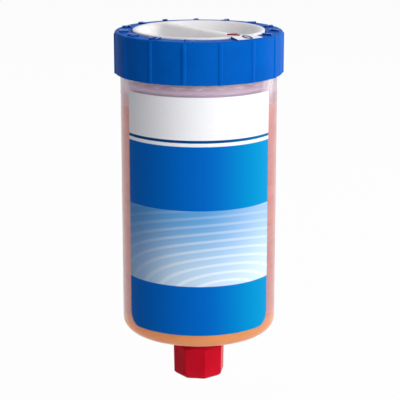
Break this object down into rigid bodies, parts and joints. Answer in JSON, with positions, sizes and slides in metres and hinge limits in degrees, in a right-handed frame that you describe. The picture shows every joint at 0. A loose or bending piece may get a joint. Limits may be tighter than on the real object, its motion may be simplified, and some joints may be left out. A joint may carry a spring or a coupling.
{
  "type": "automatic lubricator",
  "caption": "Gas-driven automatic lubricator: clear grease container with a piston, a ribbed cover ring, a turning time dial and a screw cap over its outlet thread.",
  "frame": {"origin": "on the axis, in the container's base plane, where the outlet thread's shoulder meets the machine", "axes": "+Z along the axis from the outlet towards the dial; the label faces -Y"},
  "size_m": [0.0538, 0.0537, 0.1158],
  "materials": {
    "clear_plastic": "clear, lightly tinted, glossy moulding",
    "label_film": "printed film in white and blues, no lettering",
    "grease": "soft orange grease, slightly glossy",
    "piston_plastic": "pale moulding",
    "housing_plastic": "pale grey moulding",
    "dial_plastic": "off-white satin moulding",
    "ring_plastic": "blue satin moulding",
    "cap_plastic": "red glossy moulding",
    "pointer_red": "red inlay",
    "index_white": "white inlay",
    "index_ink": "dark blue print",
    "seal_rubber": "black rubber",
    "piston_rubber": "pale pink rubber",
    "cell_steel": "nickel-plated can",
    "contact_brass": "sprung brass",
    "board_laminate": "green laminate with tracks",
    "chip_black": "black moulding",
    "screw_steel": "plated steel"
  },
  "bodies": {
    "container_unit": {"container": "clear_plastic", "label": "label_film", "grease_charge": "grease", "outlet_grease": "grease", "drive_housing": "housing_plastic", "housing_seal": "seal_rubber", "battery_1": "cell_steel", "battery_2": "cell_steel", "gas_cell_1": "cell_steel", "gas_cell_2": "cell_steel", "cell_gasket_1": "seal_rubber", "cell_gasket_2": "seal_rubber", "cell_contact_1": "contact_brass", "cell_contact_2": "contact_brass", "circuit_board": "board_laminate", "control_chip": "chip_black", "bearing_plate": "housing_plastic", "plate_screw_1": "screw_steel", "plate_screw_2": "screw_steel", "plate_screw_3": "screw_steel", "plate_screw_4": "screw_steel", "detent_spring": "screw_steel", "cover_ring": "ring_plastic", "zero_index_plate": "index_white", "zero_numeral": "index_ink"},
    "dial": {"time_dial": "dial_plastic", "dial_pointer": "pointer_red", "dial_seal": "seal_rubber", "contact_wiper": "contact_brass"},
    "piston_unit": {"piston": "piston_plastic", "piston_seal_1": "piston_rubber", "piston_seal_2": "piston_rubber"},
    "cap_carriage": {"cap_seal_washer": "seal_rubber"},
    "screw_cap": {"closure_cap": "cap_plastic"}
  },
  "joints": [
    {"name": "dial_turn", "type": "hinge", "parent": "container_unit", "child": "dial", "pos_m": [0, 0, 0.091], "axis": [0, 0, 1], "range_deg": [0, 288]},
    {"name": "piston_travel", "type": "slide", "parent": "container_unit", "child": "piston_unit", "axis": [0, 0, -1], "range_m": [0, 0.072], "deforming": ["grease_charge"]},
    {"name": "cap_travel", "type": "slide", "parent": "container_unit", "child": "cap_carriage", "axis": [0, 0, -1], "range_m": [0, 0.0125]},
    {"name": "cap_turn", "type": "hinge", "parent": "cap_carriage", "child": "screw_cap", "pos_m": [0, 0, -0.008], "axis": [0, 0, -1], "range_deg": [0, 3370]}
  ],
  "couplings": [
    {"joint": "cap_turn", "follows": "cap_travel", "rad_per_m": 4699.5}
  ]
}
